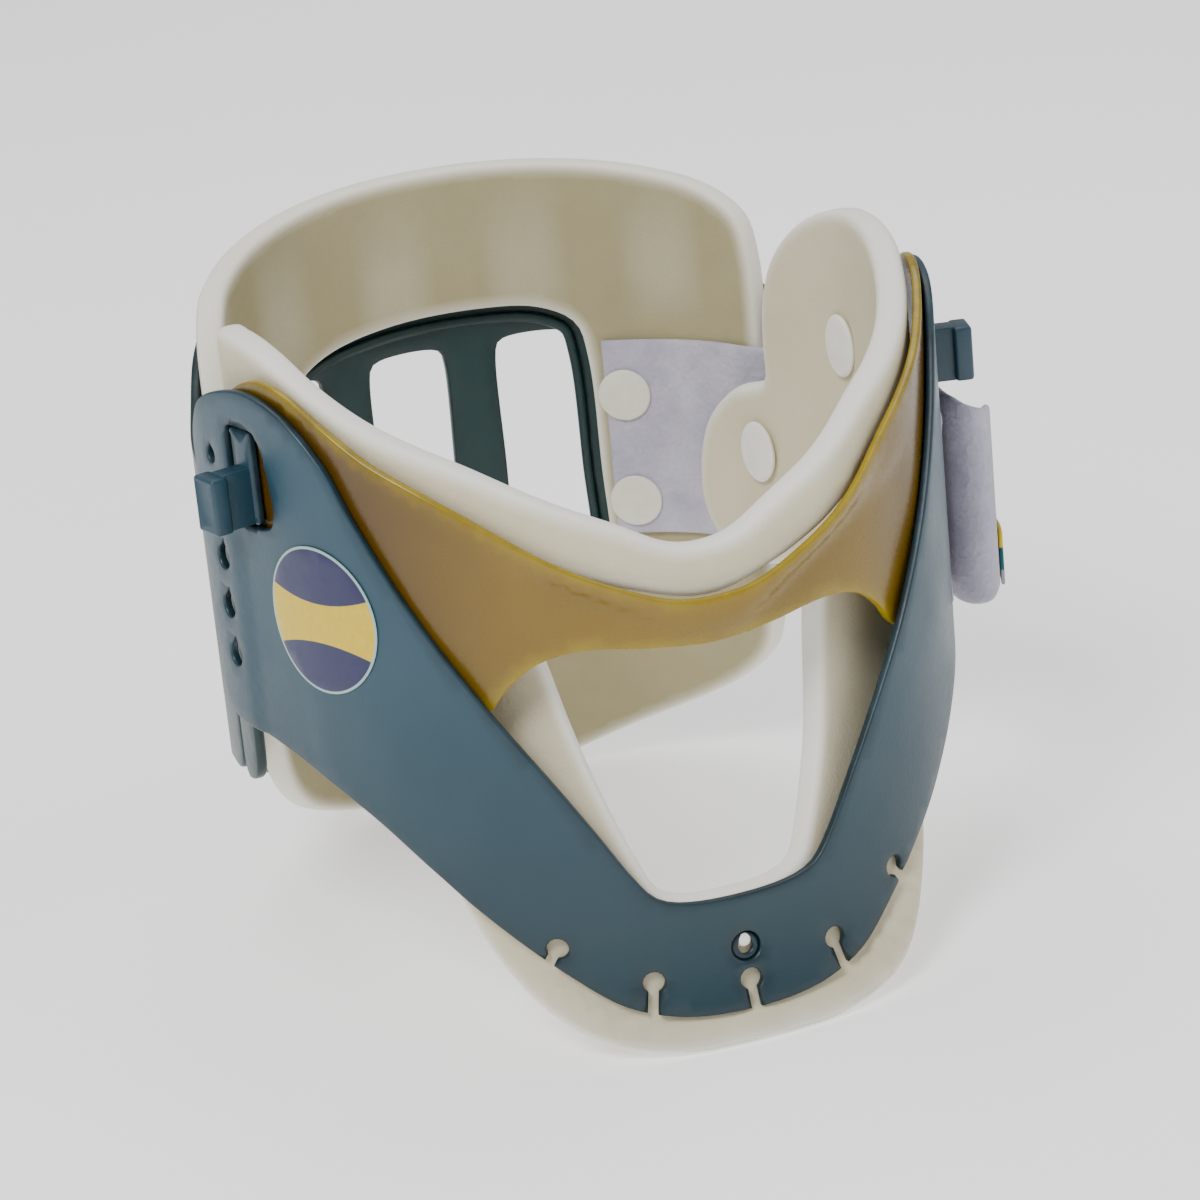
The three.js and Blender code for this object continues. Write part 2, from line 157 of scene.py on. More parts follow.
def resample(poly, step, closed=True):
    p = np.asarray(poly, float)
    if closed:
        p = np.vstack([p, p[:1]])
    along = np.concatenate([[0], np.cumsum(np.linalg.norm(np.diff(p, axis=0), axis=1))])
    count = max(8, int(round(along[-1] / step)))
    at = np.linspace(0, along[-1], count + 1)
    out = np.stack([np.interp(at, along, p[:, k]) for k in range(p.shape[1])], -1)
    return out[:-1] if closed else out


def ccw(poly):
    x, y = poly[:, 0], poly[:, 1]
    area = np.sum(x * np.roll(y, -1) - np.roll(x, -1) * y)
    return poly if area > 0 else poly[::-1]


def outline(points, step=2.2):
    return ccw(resample(catmull([flat(a, z) for a, z in points], True), step))


def mirrored(half):
    return half + [[-a, z] for a, z in reversed(half[1:-1])]


def round_path(angle, z, radius, stretch=1.0, count=24):
    c = np.array(flat(angle, z))
    t = np.linspace(0, 2 * np.pi, count, endpoint=False)
    return c + np.stack([radius * np.cos(t), stretch * radius * np.sin(t)], -1)


def drop_path(angle, z, radius):
    c = flat(angle, z)
    points = [[c[0], c[1] + 1.5 * radius]]
    for t in range(140, 401, 20):
        turn = math.radians(t)
        points.append([c[0] + radius * math.cos(turn), c[1] + radius * math.sin(turn)])
    return np.array(points)


def keyhole(angle, z, tilt):
    eye, neck, length = 2.1, 1.0, 14.0
    spread = math.asin(neck / eye)
    t = spread + (2 * math.pi - 2 * spread) * np.arange(15) / 14 - math.pi / 2
    round_eye = np.stack([eye * np.cos(t), eye * np.sin(t)], -1)
    p = np.vstack([round_eye, [[-neck, -length], [neck, -length]]])
    c, s = math.cos(math.radians(tilt)), math.sin(math.radians(tilt))
    return p @ np.array([[c, s], [-s, c]]) + flat(angle, z)


def rounded(points, radius, steps=4):
    """Polygon with each corner turned into a short arc."""
    p = np.asarray(points, float)
    out = []
    for i in range(len(p)):
        a, b, c = p[i - 1], p[i], p[(i + 1) % len(p)]
        u, v = (a - b) / np.linalg.norm(a - b), (c - b) / np.linalg.norm(c - b)
        r = min(radius, 0.4 * np.linalg.norm(a - b), 0.4 * np.linalg.norm(c - b))
        for k in range(steps + 1):
            t = k / steps
            out.append((1 - t) ** 2 * (b + r * u) + 2 * t * (1 - t) * b + t * t * (b + r * v))
    return np.array(out)


def offset(poly, distance):
    """Moves each point of a closed polygon towards its inside."""
    p = ccw(np.asarray(poly, float))
    t = np.roll(p, -1, 0) - np.roll(p, 1, 0)
    t /= np.linalg.norm(t, axis=1)[:, None] + 1e-12
    return p + distance * np.stack([-t[:, 1], t[:, 0]], -1)


def inside(points, poly):
    x, y = points[:, 0], points[:, 1]
    hit = np.zeros(len(points), bool)
    for (x0, y0), (x1, y1) in zip(poly, np.roll(poly, -1, 0)):
        if y0 == y1:
            continue
        cross = (y0 > y) != (y1 > y)
        hit ^= cross & (x < (x1 - x0) * (y - y0) / (y1 - y0) + x0)
    return hit


def distance_to(points, a, b):
    """Shortest distance from each point to the segments a-b."""
    best = np.full(len(points), 1e9)
    d = b - a
    length = np.maximum(np.einsum("ij,ij->i", d, d), 1e-12)
    for i in range(0, len(points), 512):
        p = points[i : i + 512, None, :]
        t = np.clip(np.einsum("ijk,jk->ij", p - a, d) / length, 0, 1)
        q = p - (a + t[..., None] * d)
        best[i : i + 512] = np.sqrt(np.einsum("ijk,ijk->ij", q, q).min(1))
    return best


# --- meshes ----------------------------------------------------------------------------------------

def new_object(name, verts, faces, material):
    mesh = bpy.data.meshes.new(name)
    mesh.from_pydata([tuple(v) for v in verts], [], [tuple(int(i) for i in f) for f in faces])
    mesh.validate()
    mesh.materials.append(material)
    for p in mesh.polygons:
        p.use_smooth = True
    obj = bpy.data.objects.new(name, mesh)
    bpy.context.scene.collection.objects.link(obj)
    return obj


def note(obj, **values):
    """Per-point numbers that the materials read."""
    for key, value in values.items():
        a = obj.data.attributes.new(key, "FLOAT", "POINT")
        a.data.foreach_set("value", np.asarray(value, np.float32))


def flat_map(obj, xy):
    layer = obj.data.uv_layers.new(name="flat")
    loops = np.empty(len(obj.data.loops), np.int32)
    obj.data.loops.foreach_get("vertex_index", loops)
    layer.data.foreach_set("uv", (np.asarray(xy)[loops] / MM_PER_UNIT).astype(np.float32).ravel())


def sheet_mesh(points, holes=(), cuts=(), thickness=1.0, depth=None, edge=0.4, grid=3.0, rings=2,
               inner_push=None):
    """Flat slab with rounded rims, bent round the ring; depth(angle, z) is its outer face.
    inner_push moves its neck side outwards. Gives verts, faces, flat xy, edge and inner."""
    points = ccw(np.asarray(points, float))
    holes = [ccw(np.asarray(h, float)) for h in holes]
    cuts = [ccw(np.asarray(c, float)) for c in cuts]
    loops = [points] + holes + cuts

    def within(p):
        ok = inside(p, points)
        for h in holes + cuts:
            ok &= ~inside(p, h)
        return ok

    seg_a = np.vstack(loops)
    seg_b = np.vstack([np.roll(l, -1, 0) for l in loops])
    extra = []
    for k in range(1, rings + 1):
        d = edge * (1 - math.cos(math.pi / 2 * k / rings))
        for i, l in enumerate(loops):
            p = offset(l, d if i == 0 else -d)
            extra.append(p[distance_to(p, seg_a, seg_b) > 0.8 * d])
    lo, hi = points.min(0), points.max(0)
    nx, ny = (np.ceil((hi - lo) / grid).astype(int) + 1)
    gx, gy = np.meshgrid(lo[0] + grid * np.arange(nx), lo[1] + grid * np.arange(ny))
    gx = gx + 0.5 * grid * (np.arange(ny) % 2)[:, None]
    g = np.stack([gx.ravel(), gy.ravel()], -1)
    g = g[within(g)]
    extra.append(g[distance_to(g, seg_a, seg_b) > edge + 0.4 * grid])
    extra = np.vstack(extra)
    extra = extra[within(extra)]
    coords = np.vstack([seg_a, extra])
    edges, start = [], 0
    for l in loops:
        n = len(l)
        edges += [(start + i, start + (i + 1) % n) for i in range(n)]
        start += n
    cdt = delaunay_2d_cdt([Vector((float(x), float(y))) for x, y in coords], edges, [], 0, 1e-4)
    v = np.array([[p.x, p.y] for p in cdt[0]])
    f = np.array([t for t in cdt[2] if len(t) == 3])
    f = f[within(v[f].mean(1))]
    used = np.unique(f)
    back = np.full(len(v), -1)
    back[used] = np.arange(len(used))
    v, f = v[used], back[f]
    area = (v[f[:, 1], 0] - v[f[:, 0], 0]) * (v[f[:, 2], 1] - v[f[:, 0], 1]) - \
        (v[f[:, 2], 0] - v[f[:, 0], 0]) * (v[f[:, 1], 1] - v[f[:, 0], 1])
    f[area < 0] = f[area < 0][:, ::-1]
    directed = np.vstack([f[:, [0, 1]], f[:, [1, 2]], f[:, [2, 0]]])
    have = {(int(a), int(b)) for a, b in directed}
    rim = np.array([e for e in directed if (int(e[1]), int(e[0])) not in have])
    d = distance_to(v, v[rim[:, 0]], v[rim[:, 1]])
    d[np.unique(rim)] = 0
    k = np.minimum(d, edge)
    bevel = edge - np.sqrt(np.maximum(0, edge ** 2 - (edge - k) ** 2))
    angle, z = np.degrees(v[:, 0] / FLAT_R), v[:, 1]
    face = depth(angle, z)
    push = 0 if inner_push is None else inner_push(v)
    outer = on_ring(angle, z, face - bevel)
    inner = on_ring(angle, z, face - thickness + bevel + push)
    n = len(v)
    verts = np.vstack([outer, inner])
    walls = np.stack([rim[:, 1], rim[:, 0], rim[:, 0] + n, rim[:, 1] + n], -1)
    faces = [tuple(t) for t in f] + [tuple(t[::-1] + n) for t in f] + [tuple(w) for w in walls]
    near = np.exp(-d / max(edge, 0.9))
    return verts, faces, np.vstack([v, v]), np.concatenate([near, near]), \
        np.concatenate([np.zeros(n), np.ones(n)])


def join_parts(parts):
    """One part from several closed ones."""
    verts, faces, xy, edge, inner, at = [], [], [], [], [], 0
    for p in parts:
        verts.append(p[0])
        faces += [tuple(i + at for i in f) for f in p[1]]
        xy.append(p[2])
        edge.append(p[3])
        inner.append(p[4])
        at += len(p[0])
    return np.vstack(verts), faces, np.vstack(xy), np.concatenate(edge), np.concatenate(inner)


def make(name, part, material, body, nodes):
    """The piece that stands for these CAD nodes."""
    verts, faces, xy, edge, inner = part
    obj = new_object(name, verts, faces, material)
    note(obj, edge=edge, inner=inner)
    flat_map(obj, xy)
    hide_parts(*nodes)
    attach(obj, body)
    return obj


def mount(angle, z, depth, shift=0.0):
    """Frame that stands square on the face depth(angle, z): x across, y up, z outwards."""
    def at(a, h):
        return Vector(on_ring(a, h, depth(np.float64(a), np.float64(h))))
    across = (at(angle + 1, z) - at(angle - 1, z)).normalized()
    up = (at(angle, z + 1) - at(angle, z - 1)).normalized()
    out = across.cross(up).normalized()
    up = out.cross(across)
    m = Matrix((across, up, out)).transposed().to_4x4()
    m.translation = at(angle, z) + out * (shift / 1000)
    return m


def placed(verts, matrix):
    """Local millimetres to the row frame in metres."""
    m = np.array(matrix)
    return np.asarray(verts, float) / 1000 @ m[:3, :3].T + m[:3, 3]


def lathe(profile, matrix, stretch=1.0, count=40):
    """Turned piece: profile of (radius, height) from the axis to the axis."""
    profile = np.asarray(profile, float)
    verts, faces, starts = [], [], []
    for r, h in profile:
        starts.append(len(verts))
        if r < 1e-6:
            verts.append([0, 0, h])
        else:
            for i in range(count):
                t = 2 * math.pi * i / count
                verts.append([r * math.cos(t), stretch * r * math.sin(t), h])
    for k in range(len(profile) - 1):
        a, b = starts[k], starts[k + 1]
        first, last = profile[k][0] < 1e-6, profile[k + 1][0] < 1e-6
        for i in range(count):
            j = (i + 1) % count
            if first:
                faces.append((a, b + j, b + i))
            elif last:
                faces.append((a + i, a + j, b))
            else:
                faces.append((a + i, a + j, b + j, b + i))
    verts = np.array(verts)
    rad = np.hypot(verts[:, 0], verts[:, 1])
    edge = np.exp(-np.abs(rad - profile[:, 0].max()) / 0.8)
    return placed(verts, matrix), faces, verts[:, :2], edge, np.ones(len(verts))


def bevelled_box(size, centre_z, matrix, bevel, dish=0.0):
    """Moulded block with rounded edges; dish sinks the middle of its outer face."""
    bm = bmesh.new()
    bmesh.ops.create_cube(bm, size=1.0)
    for v in bm.verts:
        v.co = Vector((v.co.x * size[0], v.co.y * size[1], v.co.z * size[2]))
    bmesh.ops.bevel(bm, geom=bm.edges[:] + bm.verts[:], offset=bevel, segments=3, profile=0.5, affect="EDGES")
    if dish:
        top = max(bm.faces, key=lambda f: f.calc_center_median().z + 0.001 * f.calc_area())
        bmesh.ops.inset_individual(bm, faces=[top], thickness=min(size[:2]) * 0.18)
        for v in top.verts:
            v.co.z -= dish
    bmesh.ops.recalc_face_normals(bm, faces=bm.faces)
    for v in bm.verts:
        v.co.z += centre_z
    bm.verts.index_update()
    verts = np.array([v.co for v in bm.verts])
    faces = [tuple(v.index for v in f.verts) for f in bm.faces]
    bm.free()
    # edge is 0.3 everywhere, so the whole block is tinted a little towards the material's rim colour, the
    # painted rim shade.
    return placed(verts, matrix), faces, verts[:, :2], np.full(len(verts), 0.3), np.zeros(len(verts))


# --- materials -------------------------------------------------------------------------------------

def rgb(r, g, b):
    def lin(c):
        c /= 255
        return c / 12.92 if c <= 0.04045 else ((c + 0.055) / 1.055) ** 2.4
    return lin(r), lin(g), lin(b), 1.0


class Look:
    """A node material with one Principled shader."""

    def __init__(self, name, **sockets):
        self.material = bpy.data.materials.new(name)
        self.material.use_nodes = True
        self.tree = self.material.node_tree
        self.shader = next(n for n in self.tree.nodes if n.type == "BSDF_PRINCIPLED")
        for key, value in sockets.items():
            self.shader.inputs[key.replace("_", " ")].default_value = value
        self.place = self.node("ShaderNodeTexCoord").outputs["Object"]

    def node(self, kind, **props):
        n = self.tree.nodes.new(kind)
        for key, value in props.items():
            setattr(n, key, value)
        return n

    def link(self, a, b):
        self.tree.links.new(a, b)

    def attribute(self, name):
        return self.node("ShaderNodeAttribute", attribute_name=name).outputs["Fac"]

    def noise(self, scale, detail=4.0, rough=0.55):
        n = self.node("ShaderNodeTexNoise")
        n.inputs["Scale"].default_value = scale
        n.inputs["Detail"].default_value = detail
        n.inputs["Roughness"].default_value = rough
        self.link(self.place, n.inputs["Vector"])
        return n.outputs["Fac"]

    def cells(self, scale):
        n = self.node("ShaderNodeTexVoronoi")
        n.inputs["Scale"].default_value = scale
        self.link(self.place, n.inputs["Vector"])
        return n.outputs["Distance"]

    def wave(self, scale, vector, direction="X", distortion=0.0):
        n = self.node("ShaderNodeTexWave", wave_type="BANDS", bands_direction=direction)
        n.inputs["Scale"].default_value = scale
        n.inputs["Distortion"].default_value = distortion
        self.link(vector, n.inputs["Vector"])
        return n.outputs["Fac"]

    def uv(self):
        return self.node("ShaderNodeUVMap", uv_map="flat").outputs["UV"]

    def math(self, operation, *values):
        n = self.node("ShaderNodeMath", operation=operation)
        for i, v in enumerate(values):
            if isinstance(v, (int, float)):
                n.inputs[i].default_value = v
            else:
                self.link(v, n.inputs[i])
        return n.outputs[0]

    def remap(self, value, low, high, to_low=0.0, to_high=1.0):
        n = self.node("ShaderNodeMapRange", clamp=True)
        self.link(value, n.inputs["Value"])
        for key, v in (("From Min", low), ("From Max", high), ("To Min", to_low), ("To Max", to_high)):
            n.inputs[key].default_value = v
        return n.outputs["Result"]

    def mix(self, factor, a, b):
        n = self.node("ShaderNodeMix", data_type="RGBA", clamp_factor=True)
        if isinstance(factor, (int, float)):
            n.inputs[0].default_value = factor
        else:
            self.link(factor, n.inputs[0])
        for i, v in ((6, a), (7, b)):
            if isinstance(v, tuple):
                n.inputs[i].default_value = v
            else:
                self.link(v, n.inputs[i])
        return n.outputs[2]

    def split(self, vector):
        n = self.node("ShaderNodeSeparateXYZ")
        self.link(vector, n.inputs[0])
        return n.outputs

    def colour(self, value):
        self.link(value, self.shader.inputs["Base Color"])

    def rough(self, value):
        self.link(value, self.shader.inputs["Roughness"])

    def bump(self, height, distance, strength=1.0, normal=None):
        n = self.node("ShaderNodeBump")
        n.inputs["Distance"].default_value = distance
        n.inputs["Strength"].default_value = strength
        self.link(height, n.inputs["Height"])
        if normal is not None:
            self.link(normal, n.inputs["Normal"])
        self.link(n.outputs[0], self.shader.inputs["Normal"])
        return n.outputs[0]


def plastic(name, body, deep, edge, rough=(0.34, 0.5), side=None):
    """Moulded polyethylene: faint flow marks, fine satin grain; rims painted in the edge colour, painted
    shade on the teal frames and a painted highlight on the chin support.
    """
    m = Look(name, Specular_IOR_Level=0.5, Coat_Weight=0.08, Coat_Roughness=0.3)
    flow = m.noise(26, 3, 0.6)
    fine = m.noise(900, 2, 0.5)
    speck = m.noise(2600, 2, 0.5)
    base = m.mix(m.remap(flow, 0.3, 0.7, 0.0, 1.0), body, deep)
    # side, where given, adds painted shade that depends on position.
    if side is not None:
        base = side(m, base)
    # Painted light and shade: rims are mixed towards the edge colour, darker for shade on the frames and
    # paler for a highlight on the chin support.
    rim_light_and_shade = m.math("MULTIPLY", m.attribute("edge"), m.remap(m.noise(160, 4), 0.3, 0.62, 0.45, 1.0))
    m.colour(m.mix(m.math("MULTIPLY", rim_light_and_shade, 0.85), base, edge))
    m.rough(m.remap(m.math("ADD", m.noise(60, 4), m.math("MULTIPLY", fine, 0.35)), 0.4, 0.95, *rough))
    first = m.bump(fine, 0.00008, 0.5)
    m.bump(speck, 0.00003, 0.6, first)
    return m.material


def frame_painted_shade(m, base):
    """Painted shade: the front frame's colour is darkened towards deep teal lower down, from about 95 mm
    downwards, and stays steel blue on the wings higher up.
    """
    z = m.split(m.place)[2]
    low = m.remap(z, 0.02, 0.095, 1.0, 0.0)
    return m.mix(m.math("MULTIPLY", low, 0.85), base, rgb(0, 42, 52))


def chin_painted_shadow(m, base):
    """Painted shadow: the chin support is darkened to brown where it runs behind the front frame, in the
    frame's shadow.
    """
    x = m.math("ABSOLUTE", m.math("ADD", m.split(m.place)[0], 0.0036))
    return m.mix(m.math("MULTIPLY", m.remap(x, 0.036, 0.062), 0.75), base, rgb(56, 28, 0))


def foam_look(name, face, rim, deep, bands=False):
    """Closed-cell polyethylene foam: matt skin with fine pores; rims painted paler than the face, a painted
    highlight.
    """
    m = Look(name, Specular_IOR_Level=0.28, Subsurface_Weight=0.08, Subsurface_Scale=0.004)
    wide = m.noise(34, 3, 0.6)
    pores = m.cells(1500)
    skin = m.noise(420, 5, 0.62)
    base = m.mix(m.remap(wide, 0.32, 0.68), face, deep)
    if bands:
        # Painted light: faint paler vertical bands on the upper part of the rear foam.
        u = m.split(m.uv())
        stripe = m.remap(m.wave(0.95, m.uv(), "X", 0.6), 0.25, 0.9)
        high = m.math("MULTIPLY", m.remap(u[1], 1.02, 1.14), m.remap(u[1], 1.38, 1.2))
        base = m.mix(m.math("MULTIPLY", m.math("MULTIPLY", stripe, high), 0.2), base, rim)
    speck = m.remap(pores, 0.0, 0.5, 0.25, 0.0)
    base = m.mix(speck, base, deep)
    # Painted highlight: rims are mixed towards the paler rim colour.
    m.colour(m.mix(m.remap(m.attribute("edge"), 0.25, 0.8), base, rim))
    m.rough(m.remap(skin, 0.3, 0.7, 0.62, 0.86))
    first = m.bump(skin, 0.00022, 0.55)
    m.bump(pores, 0.00012, 0.45, first)
    return m.material


def loop_look(name, light, shade, back=0.0):
    """Brushed nylon loop: short curled pile over a knitted ground."""
    m = Look(name, Specular_IOR_Level=0.2, Sheen_Weight=0.45, Sheen_Roughness=0.45)
    pile = m.noise(1300, 5, 0.75)
    tuft = m.cells(620)
    wide = m.noise(120, 4)
    base = m.mix(m.remap(wide, 0.3, 0.7), light, shade)
    base = m.mix(m.remap(pile, 0.35, 0.65, 0.0, 0.4), base, shade)
    # back mixes the webbing's back side towards near white; on the tail this is painted light, for the side
    # that faces the light.
    m.colour(m.mix(m.math("MULTIPLY", m.attribute("inner"), back), base, rgb(234, 233, 236)))
    m.rough(m.remap(pile, 0.3, 0.7, 0.82, 1.0))
    first = m.bump(tuft, 0.0005, 0.6)
    m.bump(pile, 0.0004, 0.8, first)
    return m.material


def rivet_look(name, face, rim):
    m = Look(name, Specular_IOR_Level=0.4, Subsurface_Weight=0.05, Subsurface_Scale=0.002)
    cloud = m.noise(220, 3)
    fine = m.noise(1500, 3)
    base = m.mix(m.remap(cloud, 0.3, 0.7), face, rim)
    m.colour(m.mix(m.math("MULTIPLY", m.attribute("edge"), 0.5), base, rim))
    m.rough(m.remap(fine, 0.3, 0.7, 0.42, 0.6))
    m.bump(fine, 0.00005, 0.5)
    return m.material


def hook_look(name):
    """Hook tape: rows of tiny hooks on a woven ground."""
    m = Look(name, Specular_IOR_Level=0.3, Sheen_Weight=0.2)
    rows = m.wave(90, m.uv(), "Y")
    dots = m.cells(1000)
    tall = m.math("MULTIPLY", rows, m.remap(dots, 0.1, 0.6, 1.0, 0.2))
    m.colour(m.mix(tall, rgb(196, 194, 204), rgb(232, 231, 238)))
    m.rough(m.remap(dots, 0.0, 0.6, 0.7, 0.9))
    m.bump(tall, 0.0005, 0.9)
    return m.material


def label_look(name, centre):
    """Printed film in three generic bands, blue, yellow and blue, with a thin pale edge."""
    m = Look(name, Specular_IOR_Level=0.5, Coat_Weight=0.25, Coat_Roughness=0.12)
    u = m.split(m.uv())
    x = m.math("SUBTRACT", u[0], centre[0] / MM_PER_UNIT)
    y = m.math("SUBTRACT", u[1], centre[1] / MM_PER_UNIT)
    bow = m.math("MULTIPLY", m.math("MULTIPLY", x, x), 1.5)
    top = m.math("SUBTRACT", m.math("SUBTRACT", y, 0.034), bow)
    low = m.math("SUBTRACT", m.math("MULTIPLY", m.math("ADD", y, 0.046), -1.0), bow)
    blue = m.math("MAXIMUM", m.remap(top, -0.0008, 0.0008), m.remap(low, -0.0008, 0.0008))
    ink = m.noise(700, 3)
    navy = m.mix(m.remap(ink, 0.3, 0.7), rgb(0, 2, 62), rgb(0, 6, 76))
    sun = m.mix(m.remap(ink, 0.3, 0.7), rgb(214, 184, 0), rgb(204, 172, 0))
    printed = m.mix(blue, sun, navy)
    tall = m.math("MULTIPLY", y, 1 / LABEL_STRETCH)
    away = m.math("SQRT", m.math("ADD", m.math("MULTIPLY", x, x), m.math("MULTIPLY", tall, tall)))
    m.colour(m.mix(m.remap(away, 0.1305, 0.1315), printed, rgb(150, 180, 176)))
    m.rough(m.remap(m.noise(300, 3), 0.3, 0.7, 0.26, 0.4))
    m.bump(ink, 0.00003, 0.4)
    return m.material


def tag_look(name):
    """Woven tag in three bands, yellow, teal and grey from the top."""
    m = Look(name, Specular_IOR_Level=0.25, Sheen_Weight=0.2)
    u = m.split(m.uv())
    teal = m.remap(u[1], 0.645, 0.641)
    grey = m.remap(u[1], 0.595, 0.591)
    base = m.mix(teal, rgb(226, 200, 28), rgb(12, 92, 96))
    base = m.mix(grey, base, rgb(150, 152, 158))
    weave = m.math("MULTIPLY", m.wave(160, m.uv(), "X"), m.wave(160, m.uv(), "Y"))
    m.colour(m.mix(m.math("MULTIPLY", weave, 0.25), base, rgb(70, 74, 70)))
    m.rough(m.remap(m.noise(800, 3), 0.3, 0.7, 0.65, 0.85))
    m.bump(weave, 0.0002, 0.7)
    return m.material


# The last colour given to plastic is the rim colour: painted shade for the teal frames, a painted highlight
# for the chin support.
FRONT = plastic("front_plastic_look", rgb(36, 72, 88), rgb(28, 64, 80), rgb(0, 26, 34), side=frame_painted_shade)
REAR = plastic("rear_plastic_look", rgb(0, 50, 52), rgb(0, 43, 46), rgb(0, 26, 30))
CHIN = plastic("chin_plastic_look", rgb(126, 98, 0), rgb(112, 86, 0), rgb(160, 138, 0),
               rough=(0.2, 0.34), side=chin_painted_shadow)
FOAM = foam_look("foam_look", rgb(214, 206, 178), rgb(238, 236, 228), rgb(206, 197, 168))
# Painted shade: the rear foam is given a darker face colour than the other foam, for the shade inside the
# collar.
REAR_FOAM_SHADED_LOOK = foam_look("rear_foam_shaded_look", rgb(170, 161, 126), rgb(236, 232, 218),
                           rgb(160, 151, 116), bands=True)
RIVET = rivet_look("rivet_look", rgb(236, 233, 222), rgb(246, 244, 238))
PATCH_RIVET = rivet_look("patch_rivet_look", rgb(222, 217, 200), rgb(232, 229, 216))
LOOP = loop_look("loop_look", rgb(206, 203, 216), rgb(176, 172, 192))
# Painted light: back=0.8 paints the tail's back side near white.
TAIL = loop_look("tail_look", rgb(196, 193, 208), rgb(168, 164, 184), back=0.8)
HOOK = hook_look("hook_look")
TAG = tag_look("tag_look")

# --- outlines --------------------------------------------------------------------------------------

FRAME = outline(mirrored([
    [0, 4.6], [10, 5.6], [18, 9], [25, 15.5], [31.5, 22.7], [38, 30.5], [44, 38], [53, 47.5],
    [64.5, 54.5], [76, 57.5], [85, 58.6], [88.6, 60.5], [89.6, 66], [90, 80], [90.3, 95],
    [91, 108], [90.6, 117], [86, 124.5], [78, 128.6], [70, 129.6], [62.5, 126.8], [56, 119.6],
    [51, 108.5], [43.7, 92.5], [33, 71], [26, 57.5], [20, 45], [15.5, 35], [12.5, 29.8],
    [9.5, 28], [0, 27],
]))
LOCK_WINDOW = [
    [69.7, 122.1], [67.6, 115], [66.6, 107.5], [67.6, 103.4], [70.5, 102.3], [77.4, 102.3],
    [77.4, 122.1],
]
CHIN_OUTLINE = outline(mirrored([
    [0, 78.8], [10, 80], [20, 81.2], [26, 79.4], [30.5, 75], [34, 69.5], [39, 67], [46, 69.5],
    [54, 77], [62, 83], [71, 84], [76.5, 79], [78.4, 72], [80, 69.6], [81.6, 71.5], [82, 80],
    [82, 98], [82, 115], [80.5, 125], [76, 129.5], [70, 131.8], [64, 130.9], [57, 126.4],
    [48.7, 119.8], [41, 114.6], [32, 107.8], [23, 100.6], [14, 94.2], [6, 89.8], [0, 89],
]), 1.8)
CHIN_FOAM_OUTLINE = outline(mirrored([
    [0, 88], [12, 92], [24, 98], [36, 101.5], [48, 100.5], [58, 92], [68, 81], [80, 71],
    [92, 63], [105, 56.5], [117, 53.5], [126, 56], [130.5, 64], [131, 74], [128, 85],
    [121, 92.5], [114, 95], [110.6, 96.6], [110.4, 104], [109.6, 114], [106, 124.5],
    [99, 132.5], [91, 136.2], [80, 137.2], [71, 135.4], [62, 131], [49.6, 124.6], [36.7, 118.5],
    [25, 112], [13, 104.8], [5, 99.4], [0, 98.4],
]), 2.0)
CHEST_FOAM_OUTLINE = outline(mirrored([
    [0, 26.4], [7, 26.8], [11.4, 29], [14, 35], [17.4, 45], [22.5, 62], [27, 78.5], [29, 83.5],
    [33.5, 85.6], [41, 85], [46.5, 80], [48.6, 70], [48.8, 56], [47.4, 45], [43.6, 35],
    [38, 22.6], [32, 13.2], [26, 7], [20, 3], [14, 0.9], [8, 0], [4, 0], [0, 0],
]), 1.6)
CHEST_FOAM_OUTLINE[:, 1] = np.maximum(CHEST_FOAM_OUTLINE[:, 1], 0)
REAR_FOAM_OUTLINE = outline([
    [174, 0], [180, 0], [186, 0], [191, 0], [196, 0.1], [204, 1.6], [214, 5.2], [224, 11.5],
    [231, 21], [235, 36], [239, 66], [242, 96], [243, 114], [241.5, 125], [237, 131.5],
    [229, 135.2], [216, 138.8], [199, 141.6], [180, 142.4], [160, 141], [143, 138],
    [130, 133.8], [123, 128], [120.8, 119], [120.4, 100], [120.4, 66], [121, 38], [123, 29],
    [128, 22.4], [137, 15.6], [150, 9], [162, 3.6], [169, 0.8],
], 2.4)
REAR_FOAM_OUTLINE[:, 1] = np.maximum(REAR_FOAM_OUTLINE[:, 1], 0)
REAR_OPENING = outline([
    [154.4, 96], [156, 103.6], [162, 108], [174, 109.8], [191, 109.6], [205, 106.8],
    [212, 102.4], [214.6, 94], [215.4, 70], [215, 46], [212, 39.6], [204, 37], [184, 36],
    [164, 37], [156.6, 39.8], [153.8, 46], [153.8, 70],
], 2.2)
REAR_FRAME_OUTLINE = outline([
    [109, 44], [113, 41.6], [120, 38.4], [129, 29], [141, 20], [158, 12], [176, 8.4], [192, 8],
    [208, 10.6], [223, 17.6], [235, 27.5], [246, 36], [256, 39.6], [263, 41], [265.6, 44],
    [266.1, 52], [266.1, 74], [266.1, 98], [265.6, 103], [262, 105.2], [250, 107], [243, 110.4],
    [236, 119], [226, 125.4], [208, 130], [188, 132], [166, 131.4], [146, 128.4], [134, 124.4],
    [127, 117.4], [121, 110], [113, 106.6], [108.6, 104.4], [107.6, 100], [107.6, 74], [107.6, 48],
])
REAR_WINDOWS = [outline([
    [a, 72], [a, 97], [a + 0.6, 100], [a + 2.4, 101], [b - 2.4, 101], [b - 0.6, 100], [b, 97],
    [b, 72], [b, 47], [b - 0.6, 44], [b - 2.4, 43], [a + 2.4, 43], [a + 0.6, 44], [a, 47],
], 1.6) for a, b in ([156.8, 170.2], [179.2, 193], [202, 212.6])]
TAB_OUTLINE = outline([
    [-85.4, 50], [-86.2, 44.6], [-89, 42], [-91.8, 41.4], [-92.9, 43], [-92.9, 72], [-92.9, 101.6],
    [-91.6, 104], [-87.6, 104], [-85.6, 101], [-85.2, 76],
])
